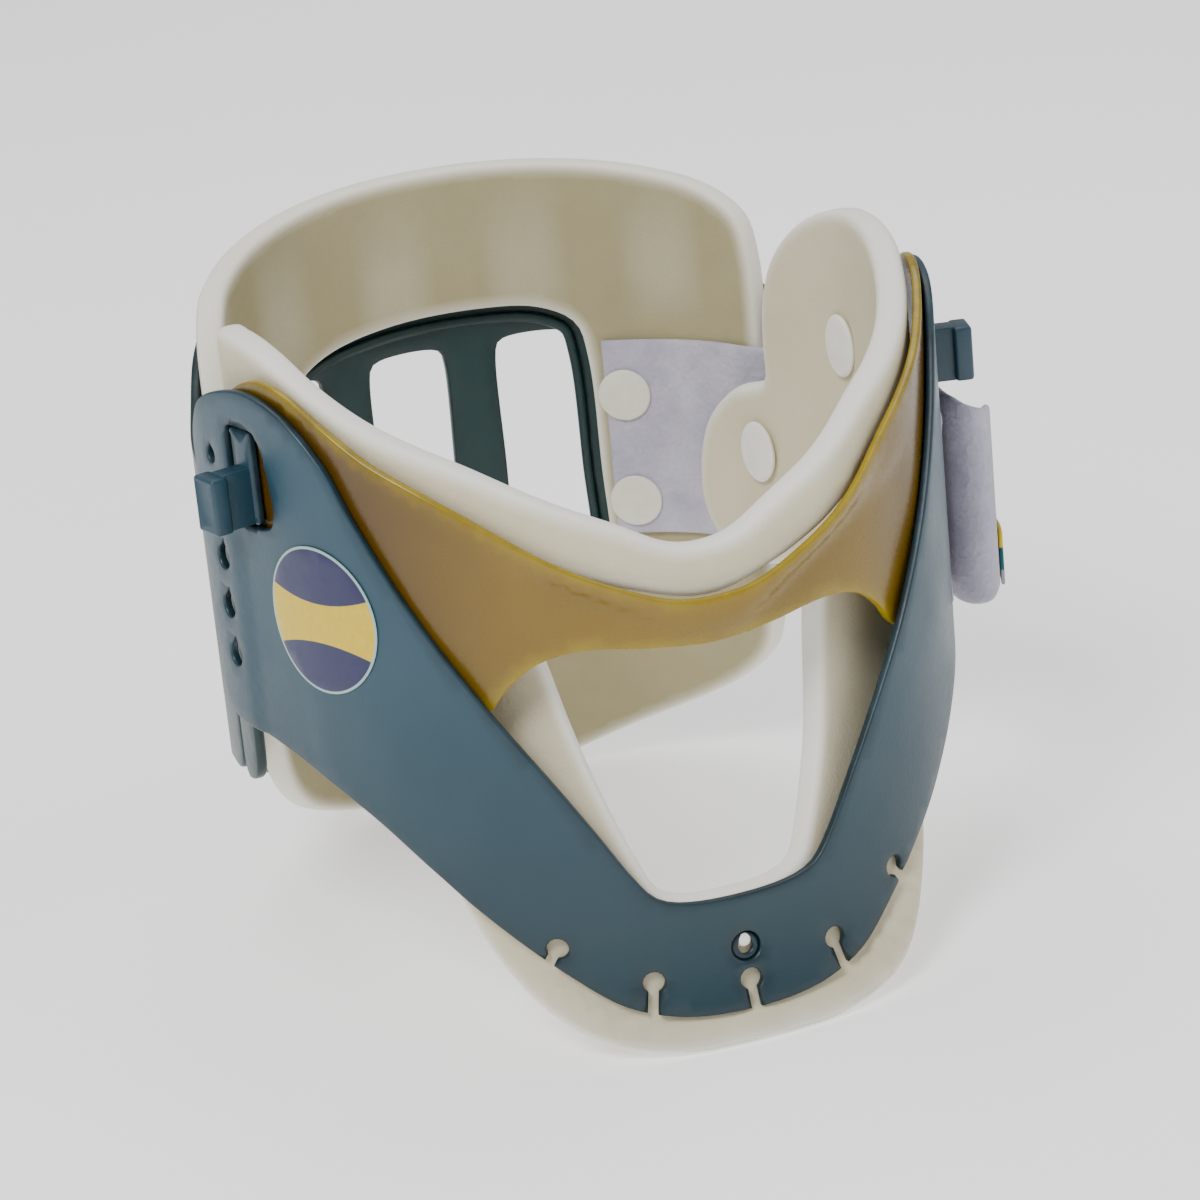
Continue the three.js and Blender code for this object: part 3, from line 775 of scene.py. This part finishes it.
STRAP_SLOT = outline([
    [113.7, 53.6], [117.9, 53.6], [117.9, 77], [117.9, 101.4], [113.7, 101.4], [113.7, 77],
])
DROPS = [[83.3, 114.2, 1.7], [82.6, 93.2, 2.4], [82.8, 82.9, 2.4], [82.6, 72.7, 2.4]]
CHIN_RIVETS = [["tall", 88.3, 107.9], ["low", 112.6, 80.5]]
PATCH_RIVETS = [["upper", 147.8, 87.6], ["lower", 147.4, 63]]


def press(spots, reach, amount):
    """Foam pushed outwards by rivet heads on its neck side."""
    def push(v):
        total = np.zeros(len(v))
        for a, z in spots:
            d = np.hypot(v[:, 0] - FLAT_R * math.radians(a), v[:, 1] - z)
            total += amount * np.exp(-(d / reach) ** 4)
        return total
    return push


# --- front shell -----------------------------------------------------------------------------------

front = sheet_mesh(
    FRAME,
    holes=[round_path(0, CHEST_RIVET_Z, 2.9)] + [
        rounded([flat(s * a, z) for a, z in LOCK_WINDOW], 1.2) for s in (-1, 1)
    ] + [drop_path(s * a, z, r) for s in (-1, 1) for a, z, r in DROPS],
    cuts=[keyhole(*k) for k in ([0, 10, 0], [14, 13, 8], [-14, 13, -8], [27, 21.8, 32], [-27, 21.8, -32])],
    thickness=FRAME_T, depth=frame_depth, edge=0.45, grid=2.6,
)
cup = lathe([[1.6, -1.5], [1.6, -0.6], [2.2, -0.5], [3.1, -0.9], [3.1, -1.5], [1.6, -1.5]],
            mount(0, CHEST_RIVET_Z, plain_frame_depth))
# Painted shade: the whole recessed cup gets the frame's dark rim colour, for the shade in the recess.
cup = cup[:3] + (np.ones(len(cup[0])), cup[4])
make("front_frame_shell", join_parts([front, cup]), FRONT, "front", ["front_frame"])

chin = sheet_mesh(CHIN_OUTLINE, thickness=CHIN_T, depth=chin_depth, edge=0.5, grid=2.2)
make("chin_support_shell", chin, CHIN, "chin", ["chin_support"])

# --- foams -----------------------------------------------------------------------------------------

lobes = [(s * a, z) for _, a, z in CHIN_RIVETS for s in (-1, 1)]
chin_foam = make("chin_foam_pad", sheet_mesh(
    CHIN_FOAM_OUTLINE, thickness=FOAM_T, depth=chin_foam_depth, edge=2.3, grid=2.6, rings=4,
    inner_push=press(lobes, 9, 0.35),
), FOAM, "chin", ["chin_foam"])

chest_foam = make("chest_foam_pad", sheet_mesh(
    CHEST_FOAM_OUTLINE, thickness=CHEST_FOAM_T, depth=chest_foam_depth, edge=1.9, grid=2.4, rings=4,
), FOAM, "front", ["chest_foam"])

rear_foam = make("rear_foam_pad", sheet_mesh(
    REAR_FOAM_OUTLINE, holes=[REAR_OPENING], thickness=FOAM_T,
    depth=lambda a, z: REAR_FOAM_DEPTH + 0 * a, edge=2.3, grid=3.0, rings=4,
    inner_push=press([(a, z) for _, a, z in PATCH_RIVETS], 9, 0.3),
), REAR_FOAM_SHADED_LOOK, "rear", ["rear_foam"])

# --- rear shell ------------------------------------------------------------------------------------

rear = sheet_mesh(REAR_FRAME_OUTLINE, holes=REAR_WINDOWS + [STRAP_SLOT], thickness=REAR_T,
                  depth=lambda a, z: REAR_OUT + 0 * a, edge=0.6, grid=3.0)
lip = sheet_mesh(offset(REAR_OPENING, 2.4), holes=[offset(REAR_OPENING, 4.6)], thickness=2.4,
                 depth=lambda a, z: REAR_OUT - REAR_T + 0.4 + 0 * a, edge=0.8, grid=3.0)
make("rear_frame_shell", join_parts([rear, lip]), REAR, "rear", ["rear_frame"])

tab = sheet_mesh(TAB_OUTLINE, thickness=REAR_T, depth=lambda a, z: REAR_OUT + 0 * a, edge=0.6, grid=3.0)
make("rear_frame_tab_shell", tab, REAR, "front", ["rear_frame_tab"])

# --- rivets ----------------------------------------------------------------------------------------


def head(radius, height, shank, length):
    """Shallow dome towards the neck with a soft rolled rim, on a shank that goes outwards."""
    profile = [[0, -height]]
    for k in range(1, 7):
        t = k / 6
        profile.append([radius * (0.86 * t), -height + 0.22 * height * t ** 2])
    for k in range(1, 6):
        t = math.pi / 2 * k / 5
        profile.append([radius * (0.86 + 0.14 * math.sin(t)), -height * (0.39 + 0.39 * math.cos(t)) ])
    profile += [[radius * 0.97, -0.05 * height], [shank, 0], [shank, length], [0, length]]
    return profile


for name, angle, z in CHIN_RIVETS:
    for s in (-1, 1):
        side = "right" if s < 0 else "left"
        part = lathe(head(5.2, 1.5, 1.3, 3.0),
                     mount(s * angle, z, lambda a, h: chin_foam_depth(a, h) - FOAM_T, -0.2), stretch=1.3)
        make(f"{name}_lobe_stud_{side}", part, RIVET, "chin",
             [f"{name}_lobe_rivet_{side}"])

for name, angle, z in PATCH_RIVETS:
    part = lathe(head(5.85, 1.2, 1.5, FOAM_T + REAR_T + 1.5),
                 mount(angle, z, lambda a, h: REAR_FOAM_DEPTH - FOAM_T - GAP - STRAP_T + 0 * a, -0.1))
    make(f"{name}_strap_stud", part, PATCH_RIVET, "rear", [f"{name}_strap_rivet"])

part = lathe([[0, -1.4], [2.4, -1.35], [3.8, -1.1], [4.5, -0.6], [4.6, -0.1], [1.5, 0], [1.5, FOAM_T + 1.0],
              [1.1, FOAM_T + 1.5], [0, FOAM_T + 1.6]],
             mount(0, CHEST_RIVET_Z, lambda a, h: chest_foam_depth(a, h) - CHEST_FOAM_T, -0.3))
make("chest_stud", part, RIVET, "front", ["chest_foam_rivet"])

# --- locks -----------------------------------------------------------------------------------------

for s in (-1, 1):
    side = "right" if s < 0 else "left"
    half, low = 2.75, LOCK_LOW
    corners = [[LOCK_ANGLE - half, LOCK_TOP], [LOCK_ANGLE - half, low],
               [LOCK_ANGLE + half, low], [LOCK_ANGLE + half, LOCK_TOP]]
    flap = sheet_mesh(rounded([flat(s * a, z) for a, z in corners], 0.8), thickness=FRAME_T,
                      depth=plain_frame_depth, edge=0.4, grid=2.0)
    at = mount(s * LOCK_ANGLE, low + 5.8, lambda a, h: wing_depth(a))
    stem = bevelled_box((4.6, 11.4, 7.0), 4.3, at, 0.35)
    grip = bevelled_box((7.2, 11.4, 3.8), 9.1, at, 0.7, dish=0.6)
    make(f"lock_tab_{side}_shell", join_parts([flap, stem, grip]), FRONT, f"lock_{side}",
         [f"lock_tab_{side}"])

# --- label -----------------------------------------------------------------------------------------

LABEL = label_look("label_look", flat(LABEL_ANGLE, LABEL_Z))
film = sheet_mesh(round_path(LABEL_ANGLE, LABEL_Z, LABEL_RADIUS, LABEL_STRETCH, 72),
                  thickness=0.3, edge=0.12, grid=2.4,
                  depth=lambda a, z: wing_depth(a) + FRAME_T + 0.4)
make("label_film", film, LABEL, "front", ["label"])

# --- strap -----------------------------------------------------------------------------------------

PATCH_DEPTH = REAR_FOAM_DEPTH - FOAM_T - GAP - STRAP_T / 2
OUTSIDE = WING_OUT + FRAME_T + 0.3 + 1 + GAP + STRAP_T / 2


def plan_curve(plan, count):
    """Plan points in millimetres, about count of them, through [angle, depth] points."""
    points = np.array([on_ring(a, 60.0, d)[:2] * 1000 for a, d in plan])
    step = np.linalg.norm(np.diff(points, axis=0), axis=1).sum() / count
    return resample(catmull(points, False, 20), step, closed=False)


def band(plan, thickness, low, high, count, rows, puff=None):
    """Webbing on edge along a plan curve. low and high give its edges for s from 0 to 1, and
    puff(s, height, side) is how much thicker it is there."""
    p = plan_curve(plan, count)
    t = np.gradient(p, axis=0)
    t /= np.linalg.norm(t, axis=1)[:, None]
    normal = np.stack([-t[:, 1], t[:, 0]], -1)
    s = np.linspace(0, 1, len(p))
    lows, highs = low(s), high(s)
    half = thickness / 2
    turn = [math.cos(math.pi * k / 4) for k in range(1, 4)]
    section = [(k / rows, 1.0) for k in range(rows + 1)] + [(1.0, c) for c in turn]
    section += [(k / rows, -1.0) for k in range(rows, -1, -1)] + [(0.0, -c) for c in turn]
    verts, xy, edge, inner = [], [], [], []
    along = np.concatenate([[0], np.cumsum(np.linalg.norm(np.diff(p, axis=0), axis=1))])
    for i in range(len(p)):
        for h, side in section:
            z = lows[i] + h * (highs[i] - lows[i])
            if h in (0.0, 1.0):
                z += (1 - 2 * h) * half * (1 - math.sqrt(max(0, 1 - side * side)))
            swell = half if puff is None else half + puff(s[i], h, side)
            q = p[i] + normal[i] * side * swell
            verts.append([q[0], q[1], z])
            xy.append([along[i], z])
            edge.append(math.exp(-min(h, 1 - h) * (highs[i] - lows[i]) / 1.2))
            inner.append(0.5 + 0.5 * side)
    n = len(section)
    faces = []
    for i in range(len(p) - 1):
        for k in range(n):
            j = (k + 1) % n
            faces.append((i * n + k, i * n + j, (i + 1) * n + j, (i + 1) * n + k))
    faces.append(tuple(range(n))[::-1])
    faces.append(tuple(range((len(p) - 1) * n, len(p) * n)))
    return np.array(verts) / 1000, faces, np.array(xy), np.array(edge), np.array(inner)


def level(value):
    return lambda s: np.full(len(s), float(value))


# The loop strip's ends are folded over, which shows as a thicker hem along its top on the patch.
def hem(s, h, side):
    on_patch = 1 - smooth(s, 0.24, 0.34)
    return float(0.28 * on_patch * smooth(h, 0.875, 0.895) * (side > 0))


strap = band([
    [151.4, PATCH_DEPTH + 0.2], [140, PATCH_DEPTH + 0.2], [130, PATCH_DEPTH + 0.2], [122.6, PATCH_DEPTH],
    [118.8, PATCH_DEPTH + 0.6], [116.8, -5.6], [116, -1.6], [115.2, 1], [113.2, 2.6],
    [108, 3.8], [100, OUTSIDE - 0.8], [93, OUTSIDE], [84, OUTSIDE - 0.1], [76, OUTSIDE - 0.5],
], STRAP_T, level(STRAP_LOW), level(STRAP_HIGH), count=150, rows=40, puff=hem)
strap_obj = make("strap_webbing", strap, LOOP, "rear", ["strap"])

tail = band([
    [75.4, OUTSIDE - 0.5], [72.4, OUTSIDE + 0.1], [70.4, OUTSIDE + 2], [70.4, OUTSIDE + 5],
    [73, OUTSIDE + 7.6], [77, OUTSIDE + 9.4], [81, OUTSIDE + 10.4],
], STRAP_T, lambda s: STRAP_LOW + 1.5 * smooth(s, 0.3, 0.7) + 9 * smooth(s, 0.75, 1.0) ** 2,
    lambda s: STRAP_HIGH - 3 * smooth(s, 0.15, 0.5) - 16 * smooth(s, 0.5, 1.0) ** 1.5, count=52, rows=24)
make("strap_tail_webbing", tail, TAIL, "strap_end", ["strap_tail"])

tag = band([
    [75, OUTSIDE + 9.9], [78.4, OUTSIDE + 11.1], [81, OUTSIDE + 11.7],
], 0.8, level(STRAP_LOW + 1), level(STRAP_LOW + 13), count=14, rows=8)
make("strap_tag_cloth", tag, TAG, "strap_end", ["strap_tag"])

hooks = sheet_mesh(rounded([flat(a, z) for a, z in ([68.6, 56], [88.4, 61.6], [88.4, 98], [68.6, 98])], 2.0),
                   thickness=1.0, edge=0.3, grid=2.0, depth=lambda a, z: wing_depth(a) + FRAME_T + 0.3 + 1)
make("hook_patch_tape", hooks, HOOK, "front", ["hook_patch"])

# --- floor, light and camera -----------------------------------------------------------------------

ground = Look("floor_look", Roughness=0.8, Specular_IOR_Level=0.1,
              Emission_Color=(1, 1, 1, 1), Emission_Strength=0.5)
ground.colour(ground.mix(ground.remap(ground.noise(3, 2), 0.3, 0.7), rgb(250, 250, 250), rgb(246, 246, 246)))
FLOOR_HALF = 6
corners = [(x * FLOOR_HALF, y * FLOOR_HALF, 0) for x, y in ((-1, -1), (1, -1), (1, 1), (-1, 1))]
floor = new_object("floor", corners, [(0, 1, 2, 3)], ground.material)
floor.location.z = -0.0002


def lamp(name, place, target, size, power, tint=(1, 1, 1)):
    data = bpy.data.lights.new(name, "AREA")
    data.shape, data.size, data.energy, data.color = "DISK", size, power, tint
    obj = bpy.data.objects.new(name, data)
    obj.location = place
    obj.rotation_mode = "QUATERNION"
    obj.rotation_quaternion = (Vector(target) - Vector(place)).to_track_quat("-Z", "Y")
    bpy.context.scene.collection.objects.link(obj)


lamp("key", (-0.9, -0.8, 1.3), (0, 0, 0.06), 0.7, 20)
lamp("fill", (1.2, -0.7, 0.8), (0, 0, 0.06), 1.2, 5)
lamp("top", (0.1, 0.5, 1.6), (0, 0, 0.06), 1.2, 9)

world = bpy.data.worlds.new("studio")
bpy.context.scene.world = world
world.use_nodes = True
world.node_tree.nodes["Background"].inputs[0].default_value = (1, 1, 1, 1)
world.node_tree.nodes["Background"].inputs[1].default_value = 0.5

camera = bpy.data.objects.new("camera", bpy.data.cameras.new("camera"))
bpy.context.scene.collection.objects.link(camera)
place, target = Vector((-0.2678, -0.7432, 0.3499)), Vector((-0.002, -0.004, 0.067))
azimuth, elevation, roll = (math.radians(v) for v in (-24.3, 23.1, -3.77))
level_back = Vector((math.sin(azimuth), -math.cos(azimuth), 0))
back = level_back * math.cos(elevation) + Vector((0, 0, math.sin(elevation)))
across = (-back).cross(Vector((0, 0, 1))).normalized()
up = across.cross(-back) * math.cos(roll) - across * math.sin(roll)
forward = (target - place).normalized()
right = forward.cross(up).normalized()
up = right.cross(forward)
pose = Matrix((right, up, -forward)).transposed().to_4x4()
pose.translation = place
camera.matrix_world = pose
camera.data.sensor_width = 36
camera.data.lens = 122
camera.data.clip_start, camera.data.clip_end = 0.02, 50
bpy.context.scene.camera = camera
